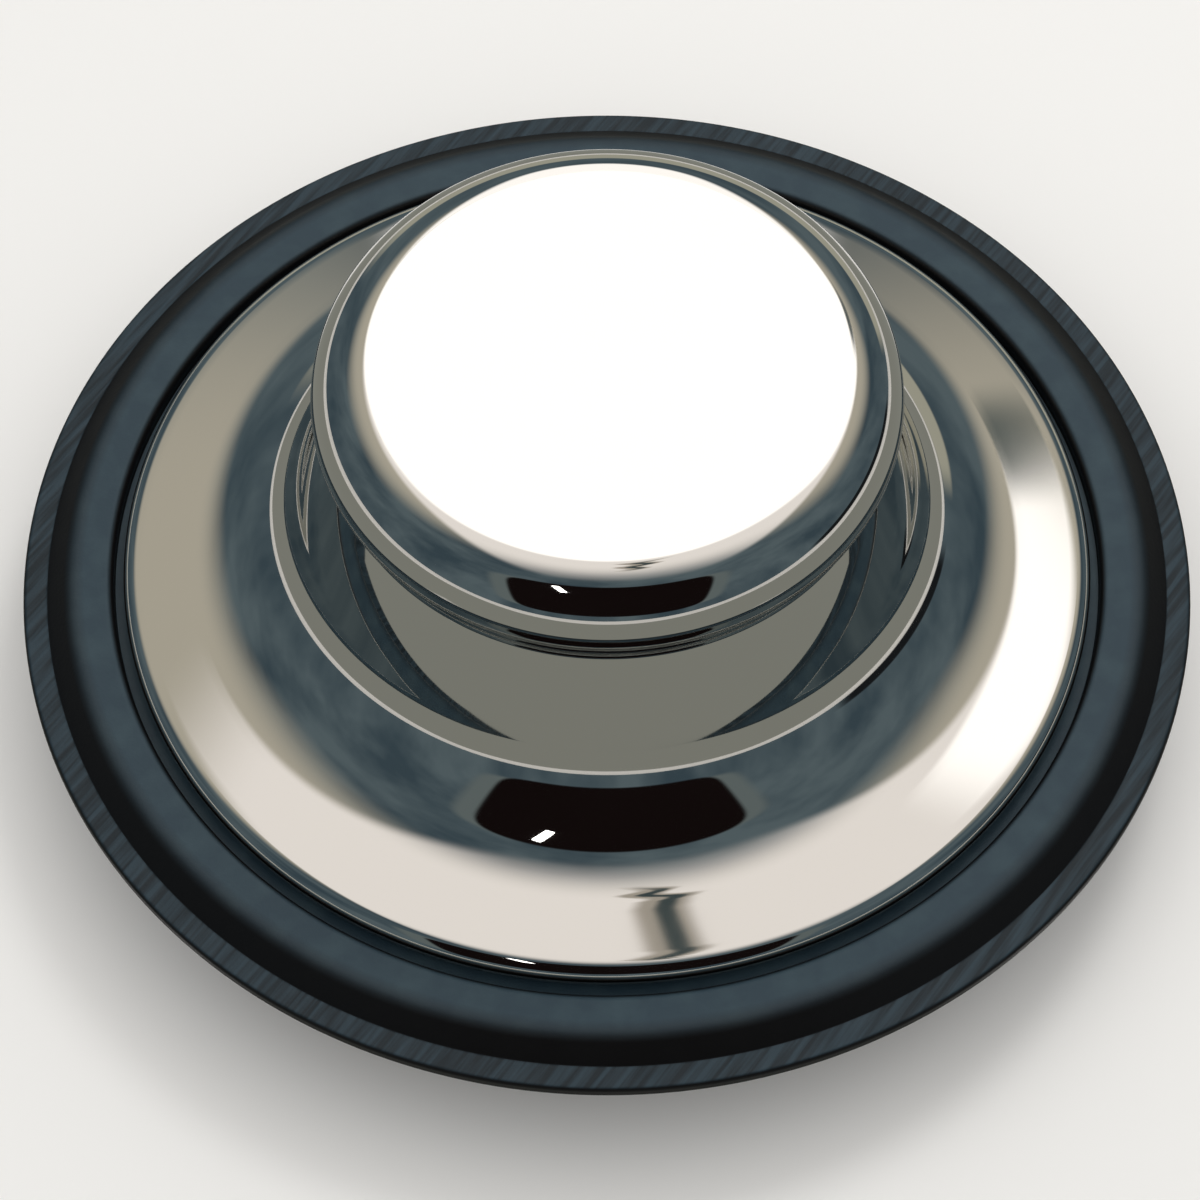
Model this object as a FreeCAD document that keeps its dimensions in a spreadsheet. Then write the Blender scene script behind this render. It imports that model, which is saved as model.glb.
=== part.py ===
import FreeCAD, Part
import Sketcher
import math
import os

# Drain stopper for the mouth of a kitchen waste disposer.
# Origin: centre of the plug base's lower edge, +Z up along the axis of the knob.

# Every driving size, in millimetres, degrees or pieces
sizes = {
    # polished cap, from the head down and outwards
    "cap_height": 25.4,
    "sheet_thickness": 0.8,
    "head_radius": 20.6,
    "bead_radius": 4.2,
    "neck_round": 1.5,
    "wall_lean": 17.3,
    "flare_reach": 10.1,
    "flare_tight_round": 9.2,
    "flare_ease": 1.0,
    "flare_shift": 0.55,
    "flange_width": 4.25,
    "flange_fall": 6.0,
    "edge_inner_round": 0.4,
    "hem_width": 4.25,
    # rubber gasket, from the cap's edge outwards
    "ring_gap": 0.75,
    "ring_inner_round": 0.6,
    "ring_height": 2.4,
    "ring_width": 3.25,
    "step_top_round": 1.5,
    "step_slope": 1.75,
    "step_foot_round": 0.25,
    "lip_width": 1.75,
    "lip_thickness": 1.0,
    "lip_round": 0.3,
    "web_thickness": 1.2,
    "gasket_hole": 24.0,
    # moulded plug base
    "lip_overhang": 5.0,
    "skirt_wall": 2.0,
    "skirt_height": 6.0,
    "skirt_round": 0.6,
    "plate_thickness": 2.4,
    "spigot_clearance": 0.3,
    "hub_wall": 2.3,
    "hub_rise": 1.0,
    "seat_floor": 2.4,
    "seat_clearance": 0.8,
    "base_rib_rise": 1.5,
    "base_rib_thickness": 1.8,
    "base_rib_count": 6,
    # moulded core inside the cap
    "boss_clearance": 0.2,
    "core_edge_clearance": 0.85,
    "core_play": 0.2,
    "core_hub_wall": 1.65,
    "core_rib_reach": 11.0,
    "core_rib_top": 2.0,
    "core_rib_height": 18.0,
    "core_rib_thickness": 1.6,
    "core_rib_count": 6,
    "rib_root": 0.6,
    # brass threaded insert
    "insert_wall": 1.1,
    "insert_margin": 1.2,
    "insert_flange_width": 1.6,
    "insert_flange_thickness": 1.2,
    "insert_groove_depth": 0.5,
    "insert_groove_start": 5.2,
    "insert_groove_width": 2.0,
    "insert_clearance": 0.05,
    # screw and washers
    "screw_radius": 3.0,
    "screw_length": 16.0,
    "screw_tip": 0.6,
    "thread_clearance": 0.1,
    "hole_clearance": 0.3,
    "tip_clearance": 0.8,
    "screw_head_radius": 5.6,
    "screw_head_height": 3.4,
    "screw_head_round": 1.8,
    "recess_arm": 3.4,
    "recess_width": 1.1,
    "recess_depth": 1.9,
    "washer_margin": 1.4,
    "flat_washer_thickness": 1.2,
    "seal_margin": 0.4,
    "seal_washer_thickness": 1.6,
}


# A text with every sign turned, to take what it stands for away from another
def less(text):
    turned_sign = {"+": "-", "-": "+"}
    return " - " + " ".join(turned_sign.get(word, word) for word in text.split())


# Radii that follow from the sizes, from the knob's head out to the lip and back under it
flare_wide_round = "flare_tight_round + flare_ease"
tight_centre_radius = "head_radius + flare_reach"
wide_centre_radius = tight_centre_radius + " + flare_shift"
flange_radius = wide_centre_radius + " + flange_width"
edge_roll = "edge_inner_round + sheet_thickness"
roll_centre_radius = flange_radius + less(edge_roll)
hem_opening = flange_radius + " - hem_width"
ring_inner_radius = flange_radius + " + ring_gap"
step_top_radius = ring_inner_radius + " + ring_width"
step_foot_radius = step_top_radius + " + step_slope"
lip_radius = step_foot_radius + " + lip_width"
skirt_radius = lip_radius + " - lip_overhang"
skirt_inner_radius = skirt_radius + " - skirt_wall"
spigot_radius = "gasket_hole - spigot_clearance"

# Radii round the screw
screw_hole_radius = "screw_radius + hole_clearance"
thread_radius = "screw_radius + thread_clearance"
flat_washer_radius = "screw_head_radius + washer_margin"
seal_washer_radius = flat_washer_radius + " + seal_margin"
seat_radius = seal_washer_radius + " + seat_clearance"
hub_radius = seat_radius + " + hub_wall"
insert_radius = thread_radius + " + insert_wall"
insert_flange_radius = insert_radius + " + insert_flange_width"
core_hub_radius = insert_flange_radius + " + insert_clearance + core_hub_wall"
core_flange_radius = roll_centre_radius + " - core_edge_clearance"

# Heights above the base's lower edge, and above the cap's own lower edge for the core
plate_top = "skirt_height + plate_thickness"
base_top = plate_top + " + web_thickness"
seat_height = base_top + " - seat_floor"
washer_seat = seat_height + " - seal_washer_thickness"
screw_seat = washer_seat + " - flat_washer_thickness"
hem_room = "edge_inner_round + edge_inner_round - core_play"
core_top = "sheet_thickness + " + hem_room
groove_end = "insert_groove_start + insert_groove_width"
insert_length = screw_seat + " + screw_length + insert_margin" + less(base_top)
core_bore_end = insert_length + " + tip_clearance"

doc = FreeCAD.newDocument("DrainStopper")
sheet = doc.addObject("Spreadsheet::Sheet", "Sizes")
for row, (name, value) in enumerate(sizes.items(), start=1):
    sheet.set("A%d" % row, name)
    sheet.set("B%d" % row, str(value))
    sheet.setAlias("B%d" % row, name)
doc.recompute()


# The number a text such as "plate_thickness + web_thickness" stands for
def worked(text):
    total = 0.0
    sign = 1.0
    for word in text.split():
        if word == "+":
            sign = 1.0
        elif word == "-":
            sign = -1.0
        else:
            total += sign * float(sheet.get(word))
    return total


# The same text as an expression that reads the sheet
def bound(text):
    words = []
    for word in text.split():
        words.append(word if word in ("+", "-") else "Sizes." + word)
    return " ".join(words)


def new_body(name, height):
    body = doc.addObject("PartDesign::Body", name)
    body.Label = name
    if height:
        body.setExpression("Placement.Base.z", bound(height))
    return body


def origin_feature(body, role):
    for feature in body.Origin.OriginFeatures:
        if feature.Role == role:
            return feature


def new_sketch(body, name, role):
    sketch = body.newObject("Sketcher::SketchObject", name)
    sketch.AttachmentSupport = [(origin_feature(body, role), "")]
    sketch.MapMode = "FlatFace"
    return sketch


# Adds a constraint whose value follows the sheet
def drive(sketch, constraint, text):
    index = sketch.addConstraint(constraint)
    sketch.setExpression("Constraints[%d]" % index, bound(text))


# Holds one end of a line at worked distances from the sketch origin; an empty text is on the axis
def hold_corner(sketch, line, across, up):
    if across:
        side = Sketcher.Constraint("DistanceX", -1, 1, line, 1, worked(across))
        drive(sketch, side, across)
    else:
        sketch.addConstraint(Sketcher.Constraint("PointOnObject", line, 1, -2))
    if up:
        rise = Sketcher.Constraint("DistanceY", -1, 1, line, 1, worked(up))
        drive(sketch, rise, up)
    else:
        sketch.addConstraint(Sketcher.Constraint("PointOnObject", line, 1, -1))


# Closed outline of straight lines through corners given as pairs of texts
def straight_outline(sketch, corners):
    points = [FreeCAD.Vector(worked(across), worked(up), 0) for across, up in corners]
    count = len(points)
    for index in range(count):
        line = Part.LineSegment(points[index], points[(index + 1) % count])
        sketch.addGeometry(line, False)
    for index in range(count):
        sketch.addConstraint(Sketcher.Constraint("Coincident", index, 2, (index + 1) % count, 1))
    for index, (across, up) in enumerate(corners):
        hold_corner(sketch, index, across, up)


# A turned solid from a straight outline in the XZ plane
def turned(body, name, corners):
    sketch = new_sketch(body, name + "_outline", "XZ_Plane")
    straight_outline(sketch, corners)
    solid = body.newObject("PartDesign::Revolution", name + "_turned")
    solid.Profile = sketch
    solid.ReferenceAxis = (sketch, ["V_Axis"])
    solid.Angle = 360.0
    doc.recompute()
    return solid


# A turned cut from a straight outline in the XZ plane
def bored(body, name, corners):
    before = body.Shape.Volume
    sketch = new_sketch(body, name + "_bore_outline", "XZ_Plane")
    straight_outline(sketch, corners)
    cut = body.newObject("PartDesign::Groove", name + "_bore")
    cut.Profile = sketch
    cut.ReferenceAxis = (sketch, ["V_Axis"])
    cut.Angle = 360.0
    doc.recompute()
    if not body.Shape.Volume < before:
        raise RuntimeError(name + ": the bore removed nothing")
    return cut


# Names of the round edges of a given radius at a given height
def round_edges(feature, radius, height):
    names = []
    for number, edge in enumerate(feature.Shape.Edges, start=1):
        if edge.Curve.TypeId != "Part::GeomCircle":
            continue
        near_radius = abs(edge.Curve.Radius - worked(radius)) < 0.001
        near_height = abs(edge.Curve.Center.z - worked(height)) < 0.001
        if near_radius and near_height:
            names.append("Edge%d" % number)
    return names


def rounded(body, name, base, edges, radius):
    fillet = body.newObject("PartDesign::Fillet", name)
    fillet.Base = (base, edges)
    fillet.setExpression("Radius", bound(radius))
    doc.recompute()
    return fillet


# Ribs round the axis from one outline in the XZ plane, thickened both ways and repeated
def ribbed(body, name, corners, thickness, count):
    sketch = new_sketch(body, name + "_outline", "XZ_Plane")
    straight_outline(sketch, corners)
    rib = body.newObject("PartDesign::Pad", name + "_pad")
    rib.Profile = sketch
    rib.Midplane = True
    rib.setExpression("Length", bound(thickness))
    doc.recompute()
    ribs = body.newObject("PartDesign::PolarPattern", name + "_round")
    ribs.Originals = [rib]
    ribs.Axis = (origin_feature(body, "Z_Axis"), [""])
    ribs.Angle = 360.0
    ribs.setExpression("Occurrences", bound(count))
    body.Tip = ribs
    doc.recompute()
    return ribs


# Unit vector at an angle above the outward radius
def toward(degrees):
    angle = math.radians(degrees)
    return FreeCAD.Vector(math.cos(angle), math.sin(angle), 0)


# Circular arc from one point to another, both on the circle round the centre
def arc_between(centre, radius, start, end):
    first = math.atan2(start.y - centre.y, start.x - centre.x)
    last = math.atan2(end.y - centre.y, end.x - centre.x)
    circle = Part.Circle(FreeCAD.Vector(centre), FreeCAD.Vector(0, 0, 1), radius)
    return Part.ArcOfCircle(circle, first, last)


# The knob's profile as one smooth chain: flat top, bead, undercut neck, leaning wall,
# tight flare, wide flare, falling flange and rolled edge. The inside of the sheet is the
# same chain with every round grown or shrunk by the inset about the same centre.
def knob_outline(sketch, inset):
    plus = " + " + inset if inset else ""
    minus = less(inset) if inset else ""
    bead = worked("bead_radius" + minus)
    neck = worked("neck_round" + plus)
    tight = worked("flare_tight_round" + plus)
    wide = worked(flare_wide_round + plus)
    roll = worked(edge_roll + minus)
    top = worked("cap_height" + minus)
    foot = worked(inset)
    lean = worked("wall_lean")
    slope = 90.0 - worked("flange_fall")

    # centres and meeting points, worked from the rolled edge up to the top
    roll_centre = FreeCAD.Vector(worked(roll_centre_radius), foot + roll, 0)
    flange_end = roll_centre + toward(slope) * roll
    flange_start_across = worked(wide_centre_radius) - wide * toward(slope).x
    run = (flange_end.x - flange_start_across) / math.sin(math.radians(slope))
    flange_start = flange_end + toward(slope + 90.0) * run
    wide_centre = flange_start + toward(slope) * wide
    joint = math.degrees(math.acos(worked("flare_shift") / (wide - tight)))
    tight_centre = wide_centre - toward(joint) * (wide - tight)
    flare_joint = wide_centre - toward(joint) * wide
    wall_foot = tight_centre - toward(lean) * tight
    bead_centre = FreeCAD.Vector(worked("head_radius - bead_radius"), top - bead, 0)
    reach = wall_foot + toward(lean) * neck - bead_centre
    along = toward(lean + 90.0)
    middle = reach.dot(along)
    climb = -middle - math.sqrt(middle ** 2 - reach.dot(reach) + (bead + neck) ** 2)
    wall_top = wall_foot + along * climb
    neck_centre = wall_top + toward(lean) * neck
    bead_end = bead_centre + (neck_centre - bead_centre) * (bead / (bead + neck))
    top_end = FreeCAD.Vector(bead_centre.x, top, 0)
    roll_end = FreeCAD.Vector(roll_centre.x, foot, 0)
    axis_top = FreeCAD.Vector(0, top, 0)
    axis_foot = FreeCAD.Vector(0, foot, 0)

    sketch.addGeometry(Part.LineSegment(axis_foot, axis_top), False)
    sketch.addGeometry(Part.LineSegment(axis_top, top_end), False)
    sketch.addGeometry(arc_between(bead_centre, bead, bead_end, top_end), False)
    sketch.addGeometry(arc_between(neck_centre, neck, bead_end, wall_top), False)
    sketch.addGeometry(Part.LineSegment(wall_top, wall_foot), False)
    sketch.addGeometry(arc_between(tight_centre, tight, wall_foot, flare_joint), False)
    sketch.addGeometry(arc_between(wide_centre, wide, flare_joint, flange_start), False)
    sketch.addGeometry(Part.LineSegment(flange_start, flange_end), False)
    sketch.addGeometry(arc_between(roll_centre, roll, roll_end, flange_end), False)
    sketch.addGeometry(Part.LineSegment(roll_end, axis_foot), False)

    # corners on the axis, then the smooth joints down the chain
    sketch.addConstraint(Sketcher.Constraint("Coincident", 0, 2, 1, 1))
    sketch.addConstraint(Sketcher.Constraint("Coincident", 9, 2, 0, 1))
    sketch.addConstraint(Sketcher.Constraint("PointOnObject", 0, 1, -2))
    sketch.addConstraint(Sketcher.Constraint("PointOnObject", 0, 2, -2))
    sketch.addConstraint(Sketcher.Constraint("Horizontal", 1))
    sketch.addConstraint(Sketcher.Constraint("Horizontal", 9))
    joints = [(1, 2, 2, 2), (2, 1, 3, 1), (3, 2, 4, 1), (4, 2, 5, 1)]
    joints += [(5, 2, 6, 1), (6, 2, 7, 1), (7, 2, 8, 2), (8, 1, 9, 1)]
    for first, first_end, second, second_end in joints:
        smooth = Sketcher.Constraint("Tangent", first, first_end, second, second_end)
        sketch.addConstraint(smooth)

    drive(sketch, Sketcher.Constraint("Radius", 2, bead), "bead_radius" + minus)
    drive(sketch, Sketcher.Constraint("Radius", 3, neck), "neck_round" + plus)
    drive(sketch, Sketcher.Constraint("Radius", 5, tight), "flare_tight_round" + plus)
    drive(sketch, Sketcher.Constraint("Radius", 6, wide), flare_wide_round + plus)
    drive(sketch, Sketcher.Constraint("Radius", 8, roll), edge_roll + minus)
    rise = Sketcher.Constraint("DistanceY", -1, 1, 0, 2, top)
    drive(sketch, rise, "cap_height" + minus)
    if inset:
        rest = Sketcher.Constraint("DistanceY", -1, 1, 0, 1, foot)
        drive(sketch, rest, inset)
    else:
        sketch.addConstraint(Sketcher.Constraint("PointOnObject", 0, 1, -1))
    for arc, across in (
        (2, "head_radius - bead_radius"),
        (5, tight_centre_radius),
        (6, wide_centre_radius),
        (8, roll_centre_radius),
    ):
        centre = Sketcher.Constraint("DistanceX", -1, 1, arc, 3, worked(across))
        drive(sketch, centre, across)
    # a line's angle is measured from the sketch's vertical or horizontal axis
    leaning = Sketcher.Constraint("Angle", -2, 2, 4, 1, math.radians(lean))
    drive(sketch, leaning, "wall_lean")
    falling = Sketcher.Constraint("Angle", 7, 1, -1, 1, math.radians(worked("flange_fall")))
    drive(sketch, falling, "flange_fall")


# Polished cap: one formed sheet, with its edge rolled under to grip the core
cap = new_body("polished_cap", base_top)
cap_outside = new_sketch(cap, "cap_outside", "XZ_Plane")
knob_outline(cap_outside, "")
cap_solid = cap.newObject("PartDesign::Revolution", "cap_turned")
cap_solid.Profile = cap_outside
cap_solid.ReferenceAxis = (cap_outside, ["V_Axis"])
cap_solid.Angle = 360.0
doc.recompute()
cap_full = cap.Shape.Volume
cap_inside = new_sketch(cap, "cap_inside", "XZ_Plane")
knob_outline(cap_inside, "sheet_thickness")
cap_hollow = cap.newObject("PartDesign::Groove", "cap_hollow")
cap_hollow.Profile = cap_inside
cap_hollow.ReferenceAxis = (cap_inside, ["V_Axis"])
cap_hollow.Angle = 360.0
doc.recompute()
if not cap.Shape.Volume < cap_full:
    raise RuntimeError("polished_cap: the hollow removed nothing")
bored(cap, "hem", [
    ("", ""),
    (hem_opening, ""),
    (hem_opening, "sheet_thickness"),
    ("", "sheet_thickness"),
])

# Rubber gasket: thin sealing lip, step, raised ring, and a recess that takes the cap's edge
gasket = new_body("rubber_gasket", plate_top)
gasket_solid = turned(gasket, "gasket", [
    ("gasket_hole", ""),
    (lip_radius, ""),
    (lip_radius, "lip_thickness"),
    (step_foot_radius, "lip_thickness"),
    (step_top_radius, "ring_height"),
    (ring_inner_radius, "ring_height"),
    (ring_inner_radius, "web_thickness"),
    ("gasket_hole", "web_thickness"),
])
lip_top = round_edges(gasket_solid, lip_radius, "lip_thickness")
lip_foot = round_edges(gasket_solid, lip_radius, "")
gasket_lip = rounded(gasket, "lip_edges", gasket_solid, lip_top + lip_foot, "lip_round")
step_top = round_edges(gasket_lip, step_top_radius, "ring_height")
gasket_step = rounded(gasket, "step_top_edge", gasket_lip, step_top, "step_top_round")
step_foot = round_edges(gasket_step, step_foot_radius, "lip_thickness")
gasket_foot = rounded(gasket, "step_foot_edge", gasket_step, step_foot, "step_foot_round")
ring_edge = round_edges(gasket_foot, ring_inner_radius, "ring_height")
rounded(gasket, "ring_inner_edge", gasket_foot, ring_edge, "ring_inner_round")

# Plug base: plate, guide skirt, spigot through the gasket, hub, ribs and the screw's seat
base = new_body("plug_base", "")
base_solid = turned(base, "base", [
    ("", "hub_rise"),
    (hub_radius, "hub_rise"),
    (hub_radius, "skirt_height"),
    (skirt_inner_radius, "skirt_height"),
    (skirt_inner_radius, ""),
    (skirt_radius, ""),
    (skirt_radius, plate_top),
    (spigot_radius, plate_top),
    (spigot_radius, base_top),
    ("", base_top),
])
skirt_foot = round_edges(base_solid, skirt_radius, "")
rounded(base, "skirt_edge", base_solid, skirt_foot, "skirt_round")
ribbed(base, "base_rib", [
    (hub_radius + " - rib_root", "base_rib_rise"),
    (skirt_inner_radius + " + rib_root", "base_rib_rise"),
    (skirt_inner_radius + " + rib_root", "skirt_height + rib_root"),
    (hub_radius + " - rib_root", "skirt_height + rib_root"),
], "base_rib_thickness", "base_rib_count")
bored(base, "screw_seat", [
    ("", ""),
    (seat_radius, ""),
    (seat_radius, seat_height),
    (screw_hole_radius, seat_height),
    (screw_hole_radius, base_top),
    ("", base_top),
])

# Core: moulded disc gripped by the cap's hem, with a hub that carries the insert and
# holds up the cap's top, and sloping ribs between the two
core = new_body("moulded_core", base_top)
turned(core, "core", [
    ("", ""),
    (hem_opening + " - boss_clearance", ""),
    (hem_opening + " - boss_clearance", "sheet_thickness"),
    (core_flange_radius, "sheet_thickness"),
    (core_flange_radius, core_top),
    (core_hub_radius, core_top),
    (core_hub_radius, "cap_height - sheet_thickness"),
    ("", "cap_height - sheet_thickness"),
])
ribbed(core, "core_rib", [
    (core_hub_radius + " - rib_root", core_top + " - rib_root"),
    (core_hub_radius + " + core_rib_reach", core_top + " - rib_root"),
    (core_hub_radius + " + core_rib_top", "core_rib_height"),
    (core_hub_radius + " - rib_root", "core_rib_height"),
], "core_rib_thickness", "core_rib_count")
bored(core, "insert", [
    ("", ""),
    (insert_flange_radius + " + insert_clearance", ""),
    (insert_flange_radius + " + insert_clearance", "insert_flange_thickness"),
    (insert_radius + " + insert_clearance", "insert_flange_thickness"),
    (insert_radius + " + insert_clearance", insert_length),
    (screw_hole_radius, insert_length),
    (screw_hole_radius, core_bore_end),
    ("", core_bore_end),
])

# Brass insert with a gripping groove and a flange at its mouth
insert = new_body("threaded_insert", base_top)
turned(insert, "insert", [
    (thread_radius, ""),
    (insert_flange_radius, ""),
    (insert_flange_radius, "insert_flange_thickness"),
    (insert_radius, "insert_flange_thickness"),
    (insert_radius, "insert_groove_start"),
    (insert_radius + " - insert_groove_depth", "insert_groove_start"),
    (insert_radius + " - insert_groove_depth", groove_end),
    (insert_radius, groove_end),
    (insert_radius, insert_length),
    (thread_radius, insert_length),
])

# Washers stacked under the seat in the base
seal_washer = new_body("seal_washer", washer_seat)
turned(seal_washer, "seal_washer", [
    (screw_hole_radius, ""),
    (seal_washer_radius, ""),
    (seal_washer_radius, "seal_washer_thickness"),
    (screw_hole_radius, "seal_washer_thickness"),
])
flat_washer = new_body("flat_washer", screw_seat)
turned(flat_washer, "flat_washer", [
    (screw_hole_radius, ""),
    (flat_washer_radius, ""),
    (flat_washer_radius, "flat_washer_thickness"),
    (screw_hole_radius, "flat_washer_thickness"),
])

# Pan-head screw, its head's top at the lower end with a cross recess
screw = new_body("centre_screw", screw_seat + " - screw_head_height")
screw_solid = turned(screw, "screw", [
    ("", ""),
    ("screw_head_radius", ""),
    ("screw_head_radius", "screw_head_height"),
    ("screw_radius", "screw_head_height"),
    ("screw_radius", "screw_head_height + screw_length - screw_tip"),
    ("screw_radius - screw_tip", "screw_head_height + screw_length"),
    ("", "screw_head_height + screw_length"),
])
head_edge = round_edges(screw_solid, "screw_head_radius", "")
rounded(screw, "head_edge", screw_solid, head_edge, "screw_head_round")
screw_full = screw.Shape.Volume
recess_sketch = new_sketch(screw, "recess_outline", "XY_Plane")
arm = worked("recess_arm")
half = worked("recess_width") / 2.0
slot_points = [(-arm, -half), (arm, -half), (arm, half), (-arm, half)]
for index in range(4):
    start = FreeCAD.Vector(slot_points[index][0], slot_points[index][1], 0)
    end = FreeCAD.Vector(slot_points[(index + 1) % 4][0], slot_points[(index + 1) % 4][1], 0)
    recess_sketch.addGeometry(Part.LineSegment(start, end), False)
for index in range(4):
    recess_sketch.addConstraint(Sketcher.Constraint("Coincident", index, 2, (index + 1) % 4, 1))
for index in (0, 2):
    recess_sketch.addConstraint(Sketcher.Constraint("Horizontal", index))
for index in (1, 3):
    recess_sketch.addConstraint(Sketcher.Constraint("Vertical", index))
recess_sketch.addConstraint(Sketcher.Constraint("Symmetric", 0, 1, 2, 1, -1, 1))
drive(recess_sketch, Sketcher.Constraint("DistanceX", 0, 1, 0, 2, 2 * arm), "recess_arm + recess_arm")
drive(recess_sketch, Sketcher.Constraint("DistanceY", 1, 1, 1, 2, 2 * half), "recess_width")
recess = screw.newObject("PartDesign::Pocket", "recess_slot")
recess.Profile = recess_sketch
recess.Reversed = True
recess.setExpression("Length", bound("recess_depth"))
doc.recompute()
if not screw.Shape.Volume < screw_full:
    raise RuntimeError("centre_screw: the recess removed nothing")
cross = screw.newObject("PartDesign::PolarPattern", "recess_cross")
cross.Originals = [recess]
cross.Axis = (origin_feature(screw, "Z_Axis"), [""])
cross.Angle = 90.0
cross.Occurrences = 2
screw.Tip = cross
doc.recompute()

for item in doc.Objects:
    if "Invalid" in item.State or "Error" in item.State:
        raise RuntimeError(item.Name + " did not build: " + str(item.State))
    if item.TypeId == "Sketcher::SketchObject" and not item.FullyConstrained:
        raise RuntimeError(item.Name + " has free points")

bodies = [cap, gasket, base, core, insert, seal_washer, flat_washer, screw]
os.makedirs("parts", exist_ok=True)
for body in bodies:
    if body.Shape.isNull() or not body.Shape.isValid() or len(body.Shape.Solids) != 1:
        raise RuntimeError(body.Label + " is not one sound solid")
    body.Shape.exportStep("parts/" + body.Label + ".step")
    print(body.Label, round(body.Shape.Volume, 1), "cubic mm", body.Shape.BoundBox)
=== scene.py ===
import math

import bpy
import numpy as np
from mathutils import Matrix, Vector


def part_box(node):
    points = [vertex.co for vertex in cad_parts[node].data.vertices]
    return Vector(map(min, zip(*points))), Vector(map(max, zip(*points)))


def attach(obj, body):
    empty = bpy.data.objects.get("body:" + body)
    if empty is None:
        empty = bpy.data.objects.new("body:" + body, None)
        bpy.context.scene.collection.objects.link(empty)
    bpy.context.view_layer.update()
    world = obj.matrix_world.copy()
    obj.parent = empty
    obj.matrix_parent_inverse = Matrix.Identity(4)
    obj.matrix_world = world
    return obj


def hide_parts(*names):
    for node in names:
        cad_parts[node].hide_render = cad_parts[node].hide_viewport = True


# Drain stopper dressed round its frame: polished knob, rubber gasket, plug base, screw and washers.
# Metres, +Z up along the knob's axis, origin under the plug base; profiles are worked in millimetres.
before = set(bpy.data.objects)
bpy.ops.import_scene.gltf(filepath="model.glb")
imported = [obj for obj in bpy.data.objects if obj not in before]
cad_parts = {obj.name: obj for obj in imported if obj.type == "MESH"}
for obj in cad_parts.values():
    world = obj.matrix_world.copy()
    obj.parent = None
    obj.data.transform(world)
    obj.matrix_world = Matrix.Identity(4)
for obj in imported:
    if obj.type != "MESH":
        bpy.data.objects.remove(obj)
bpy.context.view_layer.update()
scene = bpy.context.scene
mm = 0.001
sharpCorner = math.radians(40.0)
print("frame loaded with", len(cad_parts), "nodes")


# foot, top and radius of a turned CAD solid in mm; its smallest half width keeps the piece inside its box
def turnedSpan(node):
    low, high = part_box(node)
    return low.z / mm, high.z / mm, min(high.x, high.y, -low.x, -low.y) / mm


# turned surface: every profile point (across, up) goes once round the axis, angle = 2 pi j / around
def turnProfile(profile, around, looped=False):
    profile = np.asarray(profile, float)
    angle = np.arange(around) * (2.0 * np.pi / around)
    grid = np.empty((len(profile), around, 3))
    grid[..., 0] = profile[:, :1] * np.cos(angle)
    grid[..., 1] = profile[:, :1] * np.sin(angle)
    grid[..., 2] = profile[:, 1:]
    return wrapGrid(grid, looped)


# points and faces of a grid that closes round its columns; a first or last row on the axis becomes one
# pole, and a looped grid joins its last row to its first
def wrapGrid(grid, looped=False):
    poleTop = not looped and not grid[0, :, :2].any()
    poleFoot = not looped and not grid[-1, :, :2].any()
    rings = grid[int(poleTop):len(grid) - int(poleFoot)]
    rows, around = rings.shape[:2]
    i, j = np.meshgrid(np.arange(rows if looped else rows - 1), np.arange(around), indexing="ij")
    thisRow = i * around
    nextRow = (i + 1) % rows * around
    nextCol = (j + 1) % around
    quads = np.stack([thisRow + j, nextRow + j, nextRow + nextCol, thisRow + nextCol], -1)
    points = [rings.reshape(-1, 3)]
    faces = quads.reshape(-1, 4).tolist()
    column = np.arange(around)
    beside = (column + 1) % around
    count = rows * around
    if poleTop:
        points.append(grid[0, :1])
        faces += np.stack([np.full(around, count), column, beside], -1).tolist()
        count += 1
    if poleFoot:
        points.append(grid[-1, :1])
        last = (rows - 1) * around
        faces += np.stack([np.full(around, count), last + beside, last + column], -1).tolist()
    return np.concatenate(points), faces


# a finished piece on the fixed body in place of its CAD solid, smooth but for its sharp corners
def finishPiece(name, points, faces, node):
    mesh = bpy.data.meshes.new(name)
    mesh.from_pydata((points * mm).tolist(), [], faces)
    mesh.polygons.foreach_set("use_smooth", np.ones(len(mesh.polygons), bool))
    mesh.set_sharp_from_angle(angle=sharpCorner)
    mesh.update()
    piece = bpy.data.objects.new(name, mesh)
    scene.collection.objects.link(piece)
    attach(piece, "root")
    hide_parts(node)
    return piece


# unit vector at an angle above the outward radius, in degrees
def toward(degrees):
    turn = np.radians(degrees)
    return np.stack([np.cos(turn), np.sin(turn)], -1)


# arc round a centre from one angle to another; a negative radius gives the hollow side
def arcPoints(centre, radius, start, end, count):
    return centre + radius * toward(np.linspace(start, end, count))


# evenly spaced points between two points, the ends left out
def between(first, last, count):
    share = np.linspace(0.0, 1.0, count + 2)[1:-1, None]
    return first + (last - first) * share


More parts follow.
